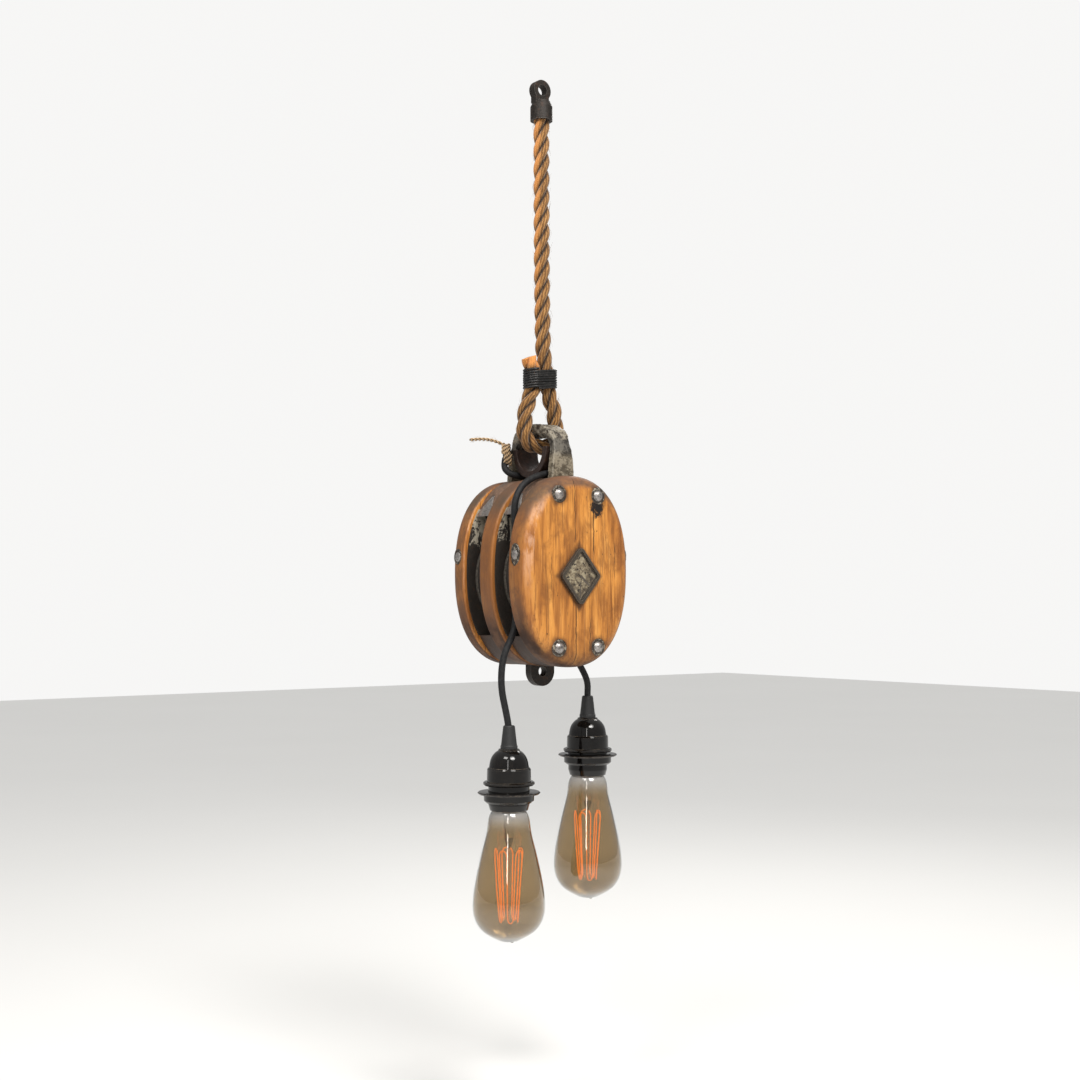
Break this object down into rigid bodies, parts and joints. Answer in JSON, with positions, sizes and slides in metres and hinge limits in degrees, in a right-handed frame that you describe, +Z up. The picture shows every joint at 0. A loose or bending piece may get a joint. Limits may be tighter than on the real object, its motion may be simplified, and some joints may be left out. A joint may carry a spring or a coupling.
{
  "type": "double sheave block",
  "caption": "Wooden double sheave block with an iron bail on a seized rope eye, reused as a pendant: a cord through the swallows ends in ring lampholders with teardrop filament bulbs.",
  "frame": {"origin": "centre of the hole in the rope socket's lug, from which the part hangs", "axes": "+Z up along the rope, Y along the sheave pin and the hanging hole with the near cheek at -Y, X across the sheaves"},
  "size_m": [0.1775, 0.1232, 0.7858],
  "materials": {
    "honey_wood": "varnished, satin, worn",
    "red_wood": "varnished, worn at the edges",
    "weathered_wood": "weathered, oiled",
    "dark_iron": "forged, oiled",
    "worn_iron": "rubbed bright",
    "brown_iron": "rusted smooth",
    "painted_iron": "chipped cream paint over dark iron",
    "bronze": "machined",
    "brass": "plated, bright",
    "manila_rope": "three-strand fibre",
    "black_wire": "black annealed wire, satin",
    "black_flex": "smooth, matte",
    "hemp_twine": "fibrous",
    "bakelite": "glossy, moulded",
    "grip_plastic": "matte, moulded",
    "insulator": "matte",
    "amber_glass": "amber, clear",
    "clear_glass": "clear",
    "filament": "coated wire strands"
  },
  "bodies": {
    "rope_line": {"rope_socket": "dark_iron", "rope": "manila_rope", "rope_seizing": "black_wire"},
    "block": {"near_cheek": "honey_wood", "far_cheek": "honey_wood", "center_partition": "red_wood", "near_top_chock": "weathered_wood", "far_top_chock": "weathered_wood", "near_bottom_chock": "weathered_wood", "far_bottom_chock": "weathered_wood", "near_swallow_liners": "painted_iron", "far_swallow_liners": "painted_iron", "swallow_plates": "worn_iron", "bail": "painted_iron", "bail_saddle": "brown_iron", "near_strap": "dark_iron", "far_strap": "dark_iron", "becket_strap": "dark_iron", "sheave_pin": "worn_iron", "near_pin_plate": "painted_iron", "far_pin_plate": "painted_iron", "shell_rivets": "worn_iron", "shell_washers": "painted_iron", "side_rivets": "worn_iron", "side_washers": "painted_iron", "flex_a_held": "black_flex", "flex_b_held": "black_flex", "twine_lashing": "hemp_twine", "twine_tail": "hemp_twine"},
    "near_wheel": {"near_sheave": "dark_iron", "near_bush": "bronze"},
    "far_wheel": {"far_sheave": "dark_iron", "far_bush": "bronze"},
    "lamp_a": {"flex_a_drop": "black_flex", "cord_grip_a": "grip_plastic", "holder_cap_a": "bakelite", "holder_body_a": "bakelite", "upper_ring_a": "bakelite", "contact_insert_a": "insulator", "thread_shell_a": "brass"},
    "ring_a": {"shade_ring_a": "bakelite"},
    "bulb_a": {"bulb_glass_a": "amber_glass", "bulb_cap_a": "brass", "bulb_contact_a": "insulator", "bulb_stem_a": "clear_glass", "filament_a": "filament"},
    "lamp_b": {"flex_b_drop": "black_flex", "cord_grip_b": "grip_plastic", "holder_cap_b": "bakelite", "holder_body_b": "bakelite", "upper_ring_b": "bakelite", "contact_insert_b": "insulator", "thread_shell_b": "brass"},
    "ring_b": {"shade_ring_b": "bakelite"},
    "bulb_b": {"bulb_glass_b": "amber_glass", "bulb_cap_b": "brass", "bulb_contact_b": "insulator", "bulb_stem_b": "clear_glass", "filament_b": "filament"}
  },
  "joints": [
    {"name": "block_swing", "type": "hinge", "parent": "rope_line", "child": "block", "pos_m": [0, 0, -0.3155], "axis": [0, 1, 0], "range_deg": [-20, 20]},
    {"name": "near_sheave_spin", "type": "hinge", "parent": "block", "child": "near_wheel", "pos_m": [0, -0.02225, -0.4535], "axis": [0, 1, 0], "continuous": true},
    {"name": "far_sheave_spin", "type": "hinge", "parent": "block", "child": "far_wheel", "pos_m": [0, 0.02225, -0.4535], "axis": [0, 1, 0], "continuous": true},
    {"name": "lamp_a_swing", "type": "hinge", "parent": "block", "child": "lamp_a", "pos_m": [-0.058, -0.0263, -0.519], "axis": [0, 1, 0], "range_deg": [-5, 25]},
    {"name": "lamp_b_swing", "type": "hinge", "parent": "block", "child": "lamp_b", "pos_m": [0.06, 0.009, -0.545], "axis": [0, 1, 0], "range_deg": [-25, 5]},
    {"name": "shade_ring_a_travel", "type": "slide", "parent": "lamp_a", "child": "ring_a", "axis": [0, 0, 1], "range_m": [-0.0014, 0.005]},
    {"name": "bulb_a_out", "type": "slide", "parent": "lamp_a", "child": "bulb_a", "axis": [0, 0, -1], "range_m": [0, 0.03]},
    {"name": "shade_ring_b_travel", "type": "slide", "parent": "lamp_b", "child": "ring_b", "axis": [0, 0, 1], "range_m": [-0.005, 0.0014]},
    {"name": "bulb_b_out", "type": "slide", "parent": "lamp_b", "child": "bulb_b", "axis": [0, 0, -1], "range_m": [0, 0.03]}
  ]
}
